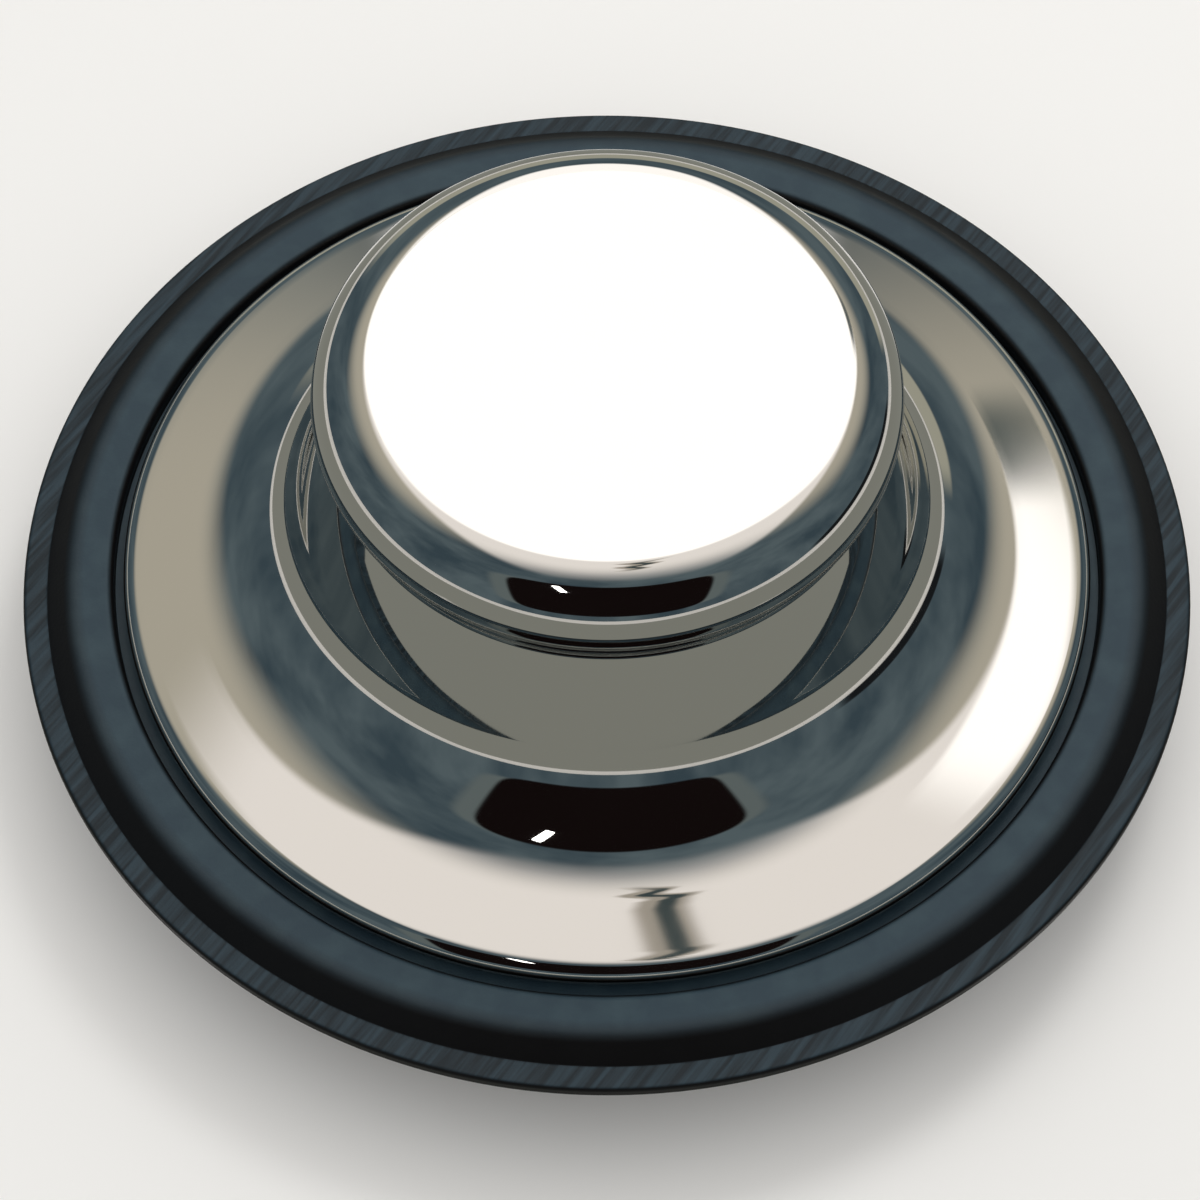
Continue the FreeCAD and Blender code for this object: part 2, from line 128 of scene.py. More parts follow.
# looped outline through corners (across, up, round): each corner is an arc of its own radius that
# touches both its sides, with a support point past each end so that flat sides shade flat
def roundedOutline(corners, steps=7, support=0.06):
    corners = np.asarray(corners, float)
    stretches = []
    for before, corner, after in zip(np.roll(corners, 1, 0), corners, np.roll(corners, -1, 0)):
        middle, radius = corner[:2], corner[2]
        toBefore = (before[:2] - middle) / np.linalg.norm(before[:2] - middle)
        toAfter = (after[:2] - middle) / np.linalg.norm(after[:2] - middle)
        half = 0.5 * np.arccos(np.clip(toBefore @ toAfter, -1.0, 1.0))
        reach = radius / np.tan(half)
        inward = (toBefore + toAfter) / np.linalg.norm(toBefore + toAfter)
        centre = middle + inward * radius / np.sin(half)
        first = np.degrees(np.arctan2(*(middle + toBefore * reach - centre)[::-1]))
        sweep = np.degrees(np.arctan2(*(middle + toAfter * reach - centre)[::-1])) - first
        sweep = (sweep + 180.0) % 360.0 - 180.0
        stretches.append([middle + toBefore * (reach + support)])
        stretches.append(arcPoints(centre, radius, first, first + sweep, steps))
        stretches.append([middle + toAfter * (reach + support)])
    return np.concatenate(stretches)


# Polished knob: one formed sheet with its edge rolled under
knob = {
    "sheet": 0.8,
    "headRadius": 20.6,
    "beadRadius": 4.2,
    "neckRound": 1.5,
    "wallLean": 17.3,
    "flareReach": 10.1,
    "tightRound": 9.2,
    "flareEase": 1.0,
    "flareShift": 0.55,
    "flangeFall": 6.0,
    "edgeRound": 1.2,
    "hemWidth": 4.25,
    "around": 288,
    "flatRows": 6,
    "beadRows": 48,
    "neckRows": 24,
    "tightRows": 28,
    "wideRows": 22,
    "edgeRows": 30,
}


# smooth chain of arcs and lines, top to rolled edge: flat top, bead, hollow neck round, leaning wall,
# tight and wide hollow flare, falling flange, edge; the inset grows hollow rounds and shrinks full ones
def knobChain(size, flangeRadius, height, inset):
    bead = size["beadRadius"] - inset
    neck = size["neckRound"] + inset
    tight = size["tightRound"] + inset
    wide = tight + size["flareEase"]
    edge = size["edgeRound"] - inset
    lean = size["wallLean"]
    slope = 90.0 - size["flangeFall"]
    wideAcross = size["headRadius"] + size["flareReach"] + size["flareShift"]
    top = height - inset
    edgeCentre = np.array([flangeRadius - size["edgeRound"], inset + edge])
    flangeEnd = edgeCentre + edge * toward(slope)
    run = (flangeEnd[0] - wideAcross + wide * toward(slope)[0]) / toward(slope)[1]
    flangeStart = flangeEnd + run * toward(slope + 90.0)
    wideCentre = flangeStart + wide * toward(slope)
    joint = np.degrees(np.arccos(size["flareShift"] / size["flareEase"]))
    tightCentre = wideCentre - size["flareEase"] * toward(joint)
    wallFoot = tightCentre - tight * toward(lean)
    beadCentre = np.array([size["headRadius"] - size["beadRadius"], top - bead])
    # the wall climbs until its neck round touches the bead: the nearer root of a quadratic
    reach = wallFoot + neck * toward(lean) - beadCentre
    along = toward(lean + 90.0)
    middle = reach @ along
    climb = -middle - np.sqrt(middle ** 2 - reach @ reach + (bead + neck) ** 2)
    wallTop = wallFoot + climb * along
    neckCentre = wallTop + neck * toward(lean)
    underBead = np.degrees(np.arctan2(*(neckCentre - beadCentre)[::-1]))
    return np.concatenate([
        between(np.array([0.0, top]), np.array([beadCentre[0], top]), size["flatRows"]),
        arcPoints(beadCentre, bead, 90.0, underBead, size["beadRows"]),
        arcPoints(neckCentre, -neck, underBead, lean, size["neckRows"])[1:],
        between(wallTop, wallFoot, size["flatRows"]),
        arcPoints(tightCentre, -tight, lean, joint, size["tightRows"]),
        arcPoints(wideCentre, -wide, joint, slope, size["wideRows"])[1:],
        between(flangeStart, flangeEnd, size["flatRows"]),
        arcPoints(edgeCentre, edge, slope, -90.0, size["edgeRows"]),
    ])


# the chain outside, the hem and the chain inside as one profile, turned about the axis
def makeKnob():
    foot, top, flangeRadius = turnedSpan("polished_cap")
    height = top - foot
    outside = knobChain(knob, flangeRadius, height, 0.0)
    inside = knobChain(knob, flangeRadius, height, knob["sheet"])[::-1]
    hemAcross = flangeRadius - knob["hemWidth"]
    hem = [[hemAcross, 0.0], [hemAcross, knob["sheet"]]]
    profile = np.concatenate([[[0.0, height]], outside, hem, inside, [[0.0, height - knob["sheet"]]]])
    profile[:, 1] += foot
    points, faces = turnProfile(profile, knob["around"])
    return finishPiece("knob_polished", points, faces, "polished_cap")


# Rubber gasket: thin lip, sloping step, raised ring and the recess that takes the knob's edge
rubber = {
    "lipThickness": 1.0,
    "lipRound": 0.3,
    "lipWidth": 1.75,
    "stepSlope": 1.75,
    "stepFootRound": 0.25,
    "stepTopRound": 1.5,
    "ringWidth": 3.25,
    "ringInnerRound": 0.6,
    "web": 1.2,
    "webRound": 0.1,
    "hole": 24.0,
    "around": 320,
    "sheenFrom": 0.8,  # cosine of the slope where the painted sheen begins to show
    "sheenFull": 0.98,
}


# outline turned about the axis; a level stretch takes the painted sheen, a steep one keeps the near-black
# painted shade, and a level one outside the step counts as lip
def makeGasket():
    size = rubber
    foot, top, lipRadius = turnedSpan("rubber_gasket")
    ringTop = top - foot
    stepFoot = lipRadius - size["lipWidth"]
    stepTop = stepFoot - size["stepSlope"]
    ringInner = stepTop - size["ringWidth"]
    outline = roundedOutline([
        (size["hole"], 0.0, size["webRound"]),
        (size["hole"], size["web"], size["webRound"]),
        (ringInner, size["web"], size["webRound"]),
        (ringInner, ringTop, size["ringInnerRound"]),
        (stepTop, ringTop, size["stepTopRound"]),
        (stepFoot, size["lipThickness"], size["stepFootRound"]),
        (lipRadius, size["lipThickness"], size["lipRound"]),
        (lipRadius, 0.0, size["lipRound"]),
    ])
    along = np.roll(outline, -1, 0) - np.roll(outline, 1, 0)
    outward = along[:, 0] / np.linalg.norm(along, axis=1)
    level = (outward - size["sheenFrom"]) / (size["sheenFull"] - size["sheenFrom"])
    levelSheen = np.clip(level, 0.0, 1.0)
    onLip = outline[:, 0] > stepFoot
    outline[:, 1] += foot
    points, faces = turnProfile(outline, size["around"], looped=True)
    piece = finishPiece("gasket_rubber", points, faces, "rubber_gasket")
    for name, share in (("levelSheen", levelSheen), ("lip", levelSheen * onLip)):
        values = np.repeat(share, size["around"]).astype(np.float32)
        piece.data.attributes.new(name, "FLOAT", "POINT").data.foreach_set("value", values)
    return piece


# Plug base: plate with its spigot, guide skirt, hub with the screw's seat, and ribs
plug = {
    "spigotRadius": 23.7,
    "spigotRise": 1.2,
    "plate": 2.4,
    "skirtWall": 2.0,
    "skirtRound": 0.6,
    "hubRadius": 10.5,
    "hubFoot": 1.0,
    "seatRadius": 8.2,
    "seatFloor": 2.4,
    "screwHole": 3.3,
    "holeRound": 0.1,
    "rimRound": 0.2,
    "edgeRound": 0.35,
    "rootRound": 0.8,
    "ribFoot": 1.5,
    "ribThickness": 1.8,
    "ribDraft": 0.25,
    "ribRound": 0.3,
    "ribRootRound": 0.05,
    "ribSink": 0.6,  # how far a rib runs into what it joins
    "ribCount": 6,
    "around": 288,
}


# rib: a section (side, up), thinner at its free edge, carried along the radius from hub to skirt and
# turned about the axis; each end is one flat face
def ribShell(size, inner, outer, ceiling, turn):
    half = size["ribThickness"] / 2.0
    section = roundedOutline([
        (size["ribDraft"] - half, size["ribFoot"], size["ribRound"]),
        (half - size["ribDraft"], size["ribFoot"], size["ribRound"]),
        (half, ceiling, size["ribRootRound"]),
        (-half, ceiling, size["ribRootRound"]),
    ])
    count = len(section)
    radius = np.repeat([inner, outer], count)
    side, up = np.tile(section, (2, 1)).T
    cos, sin = np.cos(turn), np.sin(turn)
    points = np.stack([radius * cos - side * sin, radius * sin + side * cos, up], -1)
    this = np.arange(count)
    following = np.roll(this, -1)
    faces = np.stack([this, following, following + count, this + count], -1).tolist()
    faces += [this[::-1].tolist(), (this + count).tolist()]
    return points, faces


# outline turned about the axis, and equal ribs round it at turn = 2 pi k / count
def makePlug():
    size = plug
    foot, top, skirtRadius = turnedSpan("plug_base")
    plateTop = top - size["spigotRise"]
    plateFoot = plateTop - size["plate"]
    skirtInner = skirtRadius - size["skirtWall"]
    seat = top - size["seatFloor"]
    hole, rim, edge, root = (size[part + "Round"] for part in ("hole", "rim", "edge", "root"))
    outline = roundedOutline([
        (size["screwHole"], top, hole),
        (size["spigotRadius"], top, rim),
        (size["spigotRadius"], plateTop, hole),
        (skirtRadius, plateTop, rim),
        (skirtRadius, foot, size["skirtRound"]),
        (skirtInner, foot, edge),
        (skirtInner, plateFoot, root),
        (size["hubRadius"], plateFoot, root),
        (size["hubRadius"], size["hubFoot"], edge),
        (size["seatRadius"], size["hubFoot"], edge),
        (size["seatRadius"], seat, rim),
        (size["screwHole"], seat, hole),
    ])
    shells = [turnProfile(outline, size["around"], looped=True)]
    sink = size["ribSink"]
    for turn in np.arange(size["ribCount"]) * (2.0 * np.pi / size["ribCount"]):
        shells.append(ribShell(size, size["hubRadius"] - sink, skirtInner + sink, plateFoot + sink, turn))
    starts = np.cumsum([0] + [len(points) for points, faces in shells]).tolist()
    faces = [[corner + start for corner in face] for start, shell in zip(starts, shells) for face in shell[1]]
    points = np.concatenate([points for points, faces in shells])
    return finishPiece("plug_moulded", points, faces, "plug_base")


# Centre screw: pan head downwards with a cross recess, metric thread up into the core
screw = {
    "headHeight": 3.4,
    "headRound": 1.8,
    "headEdge": 0.25,
    "shankRadius": 3.0,
    "tipBevel": 1.0,
    "pitch": 1.0,
    "threadDepth": 0.55,
    "rootFlat": 1.15,  # over 1 cuts the wave off flat at the root
    "recessArm": 3.4,
    "recessWidth": 1.1,
    "recessDepth": 1.9,
    "recessDraft": 0.2,
    "recessFull": 1.6,  # over 1 reaches full depth before the middle
    "around": 128,
    "pitchRows": 10,
    "edgeRows": 6,
    "crownRows": 16,
    "faceRows": 40,
}


# rows run from the tip down the shank, over the head and in across its face: the shank's radius falls by
# the thread depth as a triangle wave of height / pitch - turn, and the face sinks at the wings of the cross
def makeScrew():
    size = screw
    foot, top, headRadius = turnedSpan("centre_screw")
    seat = foot + size["headHeight"]
    crest = size["shankRadius"]
    climb = np.arange(top, seat, -size["pitch"] / size["pitchRows"])[:, None]
    turn = np.arange(size["around"])[None, :] * (2.0 * np.pi / size["around"])
    allRound = np.ones_like(turn)
    wave = np.abs(2.0 * ((climb / size["pitch"] - turn / (2.0 * np.pi)) % 1.0) - 1.0)
    thread = crest - size["threadDepth"] * np.clip(size["rootFlat"] * wave, 0.0, 1.0)
    shankAcross = np.minimum(thread, crest - size["tipBevel"] + top - climb)
    edge, crown = size["headEdge"], size["headRound"]
    head = np.concatenate([
        [[crest - size["threadDepth"], seat]],
        arcPoints(np.array([headRadius - edge, seat - edge]), edge, 90.0, 0.0, size["edgeRows"]),
        arcPoints(np.array([headRadius - crown, foot + crown]), crown, 0.0, -90.0, size["crownRows"]),
    ])
    faceAcross = np.linspace(headRadius - crown, 0.0, size["faceRows"])[1:]
    face = np.stack([faceAcross, np.full_like(faceAcross, foot)], -1)
    lower = np.concatenate([head, face])
    across = np.concatenate([0.0 * allRound, shankAcross, lower[:, :1] * allRound])
    up = np.concatenate([top * allRound, climb * allRound, lower[:, 1:] * allRound])
    grid = np.stack([across * np.cos(turn), across * np.sin(turn), up], -1)
    flat = np.abs(grid[-len(face):, :, :2])
    beside, along = flat.min(-1), flat.max(-1)
    wing = np.clip((size["recessWidth"] / 2.0 - beside) / size["recessDraft"], 0.0, 1.0)
    inArm = (size["recessArm"] - along) / size["recessArm"]
    sink = np.sqrt(np.clip(inArm * size["recessFull"], 0.0, 1.0))
    grid[-len(face):, :, 2] += size["recessDepth"] * wing * sink
    points, faces = wrapGrid(grid)
    return finishPiece("screw_threaded", points, faces, "centre_screw")


# Washers: flat rings with broken edges
washers = {
    "flat_washer": {"piece": "washer_plain", "hole": 3.3, "round": 0.15, "slot": "plain_steel"},
    "seal_washer": {"piece": "washer_seal", "hole": 3.3, "round": 0.3, "slot": "black_rubber"},
}
washerAround = 128


# a rectangle with rounded corners turned about the axis
def makeWasher(node, size):
    foot, top, radius = turnedSpan(node)
    corners = [(size["hole"], top), (radius, top), (radius, foot), (size["hole"], foot)]
    outline = roundedOutline([(across, up, size["round"]) for across, up in corners])
    points, faces = turnProfile(outline, washerAround, looped=True)
    return finishPiece(size["piece"], points, faces, node)


# sRGB hex to linear red, green, blue and alpha
def fromHex(code):
    channel = np.array([int(code[k:k + 2], 16) for k in (0, 2, 4)]) / 255.0
    linear = np.where(channel <= 0.04045, channel / 12.92, ((channel + 0.055) / 1.055) ** 2.4)
    return (*linear.tolist(), 1.0)


# texture scale for a pattern of a real size in mm
def scaleFor(size):
    return 1.0 / (size * mm)


# one node with its properties, its socket values and what feeds its sockets
def addNode(tree, kind, props=None, values=None, feeds=None):
    node = tree.nodes.new(kind)
    for name, value in (props or {}).items():
        setattr(node, name, value)
    for socket, value in (values or {}).items():
        node.inputs[socket].default_value = value
    for socket, source in (feeds or {}).items():
        tree.links.new(source, node.inputs[socket])
    return node


# an empty node material with its surface shader linked to the output
def newMaterial(name, values):
    material = bpy.data.materials.new(name)
    material.use_nodes = True
    tree = material.node_tree
    tree.nodes.clear()
    shader = addNode(tree, "ShaderNodeBsdfPrincipled", values=values)
    addNode(tree, "ShaderNodeOutputMaterial", feeds={"Surface": shader.outputs["BSDF"]})
    return material, tree, shader


# Stainless steel, formed and buffed to a mirror: reflections stay whole, bent a little by the sheet's
# own ripple, with a faint haze where the buff lifted
polish = {
    "colour": "cfccc7",
    "roughness": (0.02, 0.055),
    "hazeSize": 14.0,
    "hazeRange": (0.45, 0.75),
    "rippleSize": 5.0,
    "rippleHeight": 0.0012,
}


def polishedSteel():
    look = polish
    material, tree, shader = newMaterial("stainless_buffed_mirror", {
        "Base Color": fromHex(look["colour"]),
        "Metallic": 1.0,
    })
    place = addNode(tree, "ShaderNodeTexCoord").outputs["Object"]
    cloud = addNode(tree, "ShaderNodeTexNoise", values={"Scale": scaleFor(look["hazeSize"]), "Detail": 4.0},
                    feeds={"Vector": place})
    rough = addNode(tree, "ShaderNodeMapRange", values={
        "From Min": look["hazeRange"][0], "From Max": look["hazeRange"][1],
        "To Min": look["roughness"][0], "To Max": look["roughness"][1],
    }, feeds={"Value": cloud.outputs["Fac"]})
    ripple = addNode(tree, "ShaderNodeTexNoise", feeds={"Vector": place},
                     values={"Scale": scaleFor(look["rippleSize"]), "Detail": 1.0})
    bump = addNode(tree, "ShaderNodeBump", values={"Distance": look["rippleHeight"] * mm},
                   feeds={"Height": ripple.outputs["Fac"]})
    tree.links.new(rough.outputs["Result"], shader.inputs["Roughness"])
    tree.links.new(bump.outputs["Normal"], shader.inputs["Normal"])
    return material


# Moulded black rubber: level faces painted a lit blue-grey (painted sheen over a cloudy bloom tone), steep
# faces near black (painted shade), the lit tint fading to painted shade over the ring's outer edge; slanting
# grinding marks on the lip, drawn out along one direction; the grain is drawn coarser than the real 0.1 mm so
# that it shows
rubberLook = {
    "deep": "0a090a",
    "bloomAndSheen": "2a3c46",
    "wornSheen": "34464e",
    "lip": "182228",
    "mark": "293942",
    # painted shade: the lit tint fades over the ring's outer edge from fadeStart to fadeEnd mm, keeping the
    # fadeLeft share
    "fadeStart": 38.4,
    "fadeEnd": 39.6,
    "fadeLeft": 0.3,
    "roughness": (0.36, 0.52),
    "mottleSize": 2.5,
    "wearRange": (0.42, 0.72),
    "grainSize": 0.25,
    "grainHeight": 0.012,
    "markSize": (7.0, 0.45, 1.0),
    "markTurn": 55.0,
    "markRange": (0.36, 0.66),
    "markHeight": 0.02,
}


def mouldedRubber():
    look = rubberLook
    material, tree, shader = newMaterial("rubber_moulded_ground", {"IOR": 1.52, "Specular IOR Level": 0.24})
    place = addNode(tree, "ShaderNodeTexCoord").outputs["Object"]
    levelSheen = addNode(tree, "ShaderNodeAttribute", {"attribute_name": "levelSheen"})
    lip = addNode(tree, "ShaderNodeAttribute", {"attribute_name": "lip"})
    mottle = addNode(tree, "ShaderNodeTexNoise", feeds={"Vector": place},
                     values={"Scale": scaleFor(look["mottleSize"]), "Detail": 5.0})
    grain = addNode(tree, "ShaderNodeTexNoise", values={"Scale": scaleFor(look["grainSize"]), "Detail": 2.0},
                    feeds={"Vector": place})
    drawn = addNode(tree, "ShaderNodeMapping", {"vector_type": "TEXTURE"}, {
        "Rotation": (0.0, 0.0, math.radians(look["markTurn"])),
        "Scale": [length * mm for length in look["markSize"]],
    }, {"Vector": place})
    streaks = addNode(tree, "ShaderNodeTexNoise", values={"Scale": 1.0, "Detail": 2.0},
                      feeds={"Vector": drawn.outputs["Vector"]})
    marks = addNode(tree, "ShaderNodeMapRange", values={
        "From Min": look["markRange"][0], "From Max": look["markRange"][1],
    }, feeds={"Value": streaks.outputs["Fac"]})
    wear = addNode(tree, "ShaderNodeMapRange", values={
        "From Min": look["wearRange"][0], "From Max": look["wearRange"][1],
    }, feeds={"Value": mottle.outputs["Fac"]})
    # the painted sheen share is the level share, thinned to painted shade by the distance from the axis
    flatPlace = addNode(tree, "ShaderNodeVectorMath", {"operation": "MULTIPLY"},
                        {1: (1.0, 1.0, 0.0)}, {0: place})
    radius = addNode(tree, "ShaderNodeVectorMath", {"operation": "LENGTH"},
                     feeds={0: flatPlace.outputs["Vector"]})
    # painted shade where the ring's domed top rolls over at its outer edge
    outerShade = addNode(tree, "ShaderNodeMapRange", values={
        "From Min": look["fadeStart"] * mm, "From Max": look["fadeEnd"] * mm,
        "To Min": 1.0, "To Max": look["fadeLeft"],
    }, feeds={"Value": radius.outputs["Value"]})
    bloomAndSheen = addNode(tree, "ShaderNodeMath", {"operation": "MULTIPLY"},
                    feeds={0: levelSheen.outputs["Fac"], 1: outerShade.outputs["Result"]})
    # painted sheen: the lit blue-grey of level faces, varied at random by the mottle; the deep near black
    # kept by steep faces is painted shade
    sheenTint = addNode(tree, "ShaderNodeMix", {"data_type": "RGBA"},
                         {"A": fromHex(look["bloomAndSheen"]), "B": fromHex(look["wornSheen"])},
                         {"Factor": wear.outputs["Result"]})
    ringTint = addNode(tree, "ShaderNodeMix", {"data_type": "RGBA"}, {"A": fromHex(look["deep"])},
                       {"Factor": bloomAndSheen.outputs["Value"], "B": sheenTint.outputs["Result"]})
    lipTint = addNode(tree, "ShaderNodeMix", {"data_type": "RGBA"},
                      {"A": fromHex(look["lip"]), "B": fromHex(look["mark"])},
                      {"Factor": marks.outputs["Result"]})
    tint = addNode(tree, "ShaderNodeMix", {"data_type": "RGBA"}, feeds={
        "Factor": lip.outputs["Fac"], "A": ringTint.outputs["Result"], "B": lipTint.outputs["Result"],
    })
    rough = addNode(tree, "ShaderNodeMapRange", values={
        "To Min": look["roughness"][0], "To Max": look["roughness"][1],
    }, feeds={"Value": mottle.outputs["Fac"]})
    lipMarks = addNode(tree, "ShaderNodeMath", {"operation": "MULTIPLY"},
                       feeds={0: marks.outputs["Result"], 1: lip.outputs["Fac"]})
    grainBump = addNode(tree, "ShaderNodeBump", values={"Distance": look["grainHeight"] * mm},
                        feeds={"Height": grain.outputs["Fac"]})
    markBump = addNode(tree, "ShaderNodeBump", values={"Distance": look["markHeight"] * mm},
                       feeds={"Height": lipMarks.outputs["Value"], "Normal": grainBump.outputs["Normal"]})
    tree.links.new(tint.outputs["Result"], shader.inputs["Base Color"])
    tree.links.new(rough.outputs["Result"], shader.inputs["Roughness"])
    tree.links.new(markBump.outputs["Normal"], shader.inputs["Normal"])
    return material


# Black ABS from a spark-eroded mould: an even fine matte with a soft sheen and slightly greyer peaks; the
# real grain is about 0.1 mm and is drawn coarser so that it shows
plasticLook = {
    "dark": "17181a",
    "pale": "26272a",
    "roughness": (0.38, 0.58),
    "grainSize": 0.35,
    "grainHeight": 0.015,
}


def mouldedPlastic():
    look = plasticLook
    material, tree, shader = newMaterial("abs_moulded_matte", {"IOR": 1.53})
    place = addNode(tree, "ShaderNodeTexCoord").outputs["Object"]
    grain = addNode(tree, "ShaderNodeTexNoise", values={"Scale": scaleFor(look["grainSize"]), "Detail": 3.0},
                    feeds={"Vector": place})
    tint = addNode(tree, "ShaderNodeMix", {"data_type": "RGBA"},
                   {"A": fromHex(look["dark"]), "B": fromHex(look["pale"])}, {"Factor": grain.outputs["Fac"]})
    rough = addNode(tree, "ShaderNodeMapRange", values={
        "To Min": look["roughness"][0], "To Max": look["roughness"][1],
    }, feeds={"Value": grain.outputs["Fac"]})
    bump = addNode(tree, "ShaderNodeBump", values={"Distance": look["grainHeight"] * mm},
                   feeds={"Height": grain.outputs["Fac"]})
    tree.links.new(tint.outputs["Result"], shader.inputs["Base Color"])
    tree.links.new(rough.outputs["Result"], shader.inputs["Roughness"])
    tree.links.new(bump.outputs["Normal"], shader.inputs["Normal"])
    return material


# Two small metals, each with a cloudy tone and sheen: bright zinc plating and turned brass
metalLook = {
    "steel_zinc_plated": {"dull": "a9abab", "bright": "c9cbcc", "roughness": (0.18, 0.40), "cloudSize": 2.5},
    "brass_turned": {"dull": "b08a3e", "bright": "d2b25f", "roughness": (0.16, 0.38), "cloudSize": 1.6},
}


def smallMetal(name):
    look = metalLook[name]
    material, tree, shader = newMaterial(name, {"Metallic": 1.0})
    place = addNode(tree, "ShaderNodeTexCoord").outputs["Object"]
    cloud = addNode(tree, "ShaderNodeTexNoise", values={"Scale": scaleFor(look["cloudSize"]), "Detail": 6.0},
                    feeds={"Vector": place})
    tint = addNode(tree, "ShaderNodeMix", {"data_type": "RGBA"},
                   {"A": fromHex(look["dull"]), "B": fromHex(look["bright"])},
                   {"Factor": cloud.outputs["Fac"]})
    rough = addNode(tree, "ShaderNodeMapRange", values={
        "To Min": look["roughness"][0], "To Max": look["roughness"][1],
    }, feeds={"Value": cloud.outputs["Fac"]})
    tree.links.new(tint.outputs["Result"], shader.inputs["Base Color"])
    tree.links.new(rough.outputs["Result"], shader.inputs["Roughness"])
    return material


knobPiece = makeKnob()
gasketPiece = makeGasket()
plugPiece = makePlug()
screwPiece = makeScrew()
flatWasher, sealWasher = (makeWasher(node, size) for node, size in washers.items())
print("turned pieces made")

rubberFinish = mouldedRubber()
plasticFinish = mouldedPlastic()
steelFinish = smallMetal("steel_zinc_plated")
knobPiece.data.materials.append(polishedSteel())
gasketPiece.data.materials.append(rubberFinish)
sealWasher.data.materials.append(rubberFinish)
plugPiece.data.materials.append(plasticFinish)
screwPiece.data.materials.append(steelFinish)
flatWasher.data.materials.append(steelFinish)
for node, finish in (("moulded_core", plasticFinish), ("threaded_insert", smallMetal("brass_turned"))):
    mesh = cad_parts[node].data
    mesh.materials.clear()
    mesh.materials.append(finish)
print("materials made")


# Studio: pale floor under an even fill and a weak soft lamp; the dim blue room is for the mirror to show
studio = {
    "floorSize": 6.0,
    "floorColour": "f0efec",
    "roomDark": (0.052, 0.083, 0.106, 1.0),
    "roomPale": (0.12, 0.165, 0.188, 1.0),
    "roomStreak": (4.0, 4.0, 0.5),
    "roomRange": (0.35, 0.65),
    "fill": (0.82, 0.82, 0.82, 1.0),
    "poolPlace": (0.18, 0.33, 0.53),
    "poolRadius": 0.16,
    "poolPower": 2.5,
    "poolBlend": 0.4,
    "poolSoft": 0.10,
}

# Soft cards for the mirror, out of the camera's sight: bright dome, panel and window overhead with a wavy
# seam and a dim bar across them, warm ceiling round them, low wall behind, grey apron round the foot, dark
# flag and its surround where the lens is, dark stand to the right and one small bright spot
cards = {
    "dome": {
        "centre": (0.045, 0.15, 0.60),
        "across": (0.28, 0.0, 0.0),
        "along": (0.0, 0.37, 0.0),
        "corner": 3.0,
        "soft": 0.22,
        "fall": 0.95,
        "colour": (1.0, 0.96, 0.93, 1.0),
        "strength": 1.17,
    },
    "panel": {
        "centre": (0.06, 0.36, 0.58),
        "across": (0.22, 0.0, 0.0),
        "along": (0.0, 0.16, 0.0),
        "corner": 4.0,
        "soft": 0.25,
        "colour": (1.0, 0.985, 0.97, 1.0),
        "strength": 1.8,
    },
    "window": {
        "centre": (0.0, 0.66, 0.60),
        "across": (0.15, 0.0, 0.0),
        "along": (0.0, 0.36, 0.0),
        "corner": 4.0,
        "soft": 0.4,
        "colour": (1.0, 0.985, 0.97, 1.0),
        "strength": 1.6,
    },
    "seam": {
        "centre": (0.030, 0.10, 0.57),
        "across": (0.008, 0.0, 0.0),
        "along": (0.0, 0.095, 0.0),
        "corner": 4.0,
        "soft": 0.6,
        "wave": (0.007, 1.4),
        "colour": (0.06, 0.085, 0.09, 1.0),
    },
    "seam_edge": {
        "centre": (0.028, 0.10, 0.575),
        "across": (0.019, 0.0, 0.0),
        "along": (0.0, 0.10, 0.0),
        "corner": 4.0,
        "soft": 0.5,
        "wave": (0.007, 1.4),
        "colour": (0.50, 0.46, 0.40, 1.0),
    },
    "bar": {
        "centre": (0.20, 0.475, 0.57),
        "across": (0.05, 0.0, 0.0),
        "along": (0.0, 0.06, 0.0),
        "corner": 3.0,
        "soft": 0.7,
        "colour": (0.14, 0.165, 0.16, 1.0),
    },
    "ceiling": {
        "centre": (0.05, 0.36, 0.62),
        "across": (0.75, 0.0, 0.0),
        "along": (0.0, 0.45, 0.0),
        "corner": 3.0,
        "soft": 0.6,
        "colour": (0.58, 0.55, 0.46, 1.0),
    },
    "wall": {
        "centre": (0.25, 0.9, 0.12),
        "across": (0.9, 0.0, 0.0),
        "along": (0.0, 0.0, 0.14),
        "corner": 6.0,
        "soft": 0.3,
        "colour": (0.46, 0.46, 0.38, 1.0),
    },
    "apron": {
        "centre": (0.0, 0.012, 0.001),
        "across": (0.26, 0.0, 0.0),
        "along": (0.0, 0.31, 0.0),
        "corner": 12.0,
        "soft": 0.15,
        "hole": 0.165,
        "colour": (0.28, 0.29, 0.26, 1.0),
    },
    "flag": {
        "centre": (0.006, -0.24, 0.195),
        "across": (0.165, 0.0, 0.0),
        "along": (0.0, 0.088, 0.117),
        "taper": 0.10,
        "corner": 7.0,
        "soft": 0.05,
        "colour": (0.008, 0.005, 0.005, 1.0),
    },
    "surround": {
        "centre": (0.006, -0.245, 0.205),
        "across": (0.215, 0.0, 0.0),
        "along": (0.0, 0.088, 0.117),
        "taper": 0.10,
        "corner": 8.0,
        "soft": 0.12,
        "colour": (0.15, 0.185, 0.19, 1.0),
    },
    "stand": {
        "centre": (0.8, 0.05, 0.05),
        "across": (0.0, 0.42, 0.0),
        "along": (0.0, 0.0, 0.05),
        "corner": 6.0,
        "soft": 0.3,
        "colour": (0.012, 0.014, 0.016, 1.0),
    },
    "lamp_spot": {
        "centre": (-0.058, -0.172, 0.256),
        "across": (0.005, -0.015, -0.021),
        "along": (0.005, 0.001, 0.002),
        "corner": 8.0,
        "soft": 0.05,
        "colour": (1.0, 1.0, 1.0, 1.0),
        "strength": 6.0,
    },
}
lightingCards = ("dome", "panel")  # the only cards that light the floor and the dull pieces
cardGrid = 97


# eased step from 0 to 1
def eased(share):
    share = np.clip(share, 0.0, 1.0)
    return share * share * (3.0 - 2.0 * share)


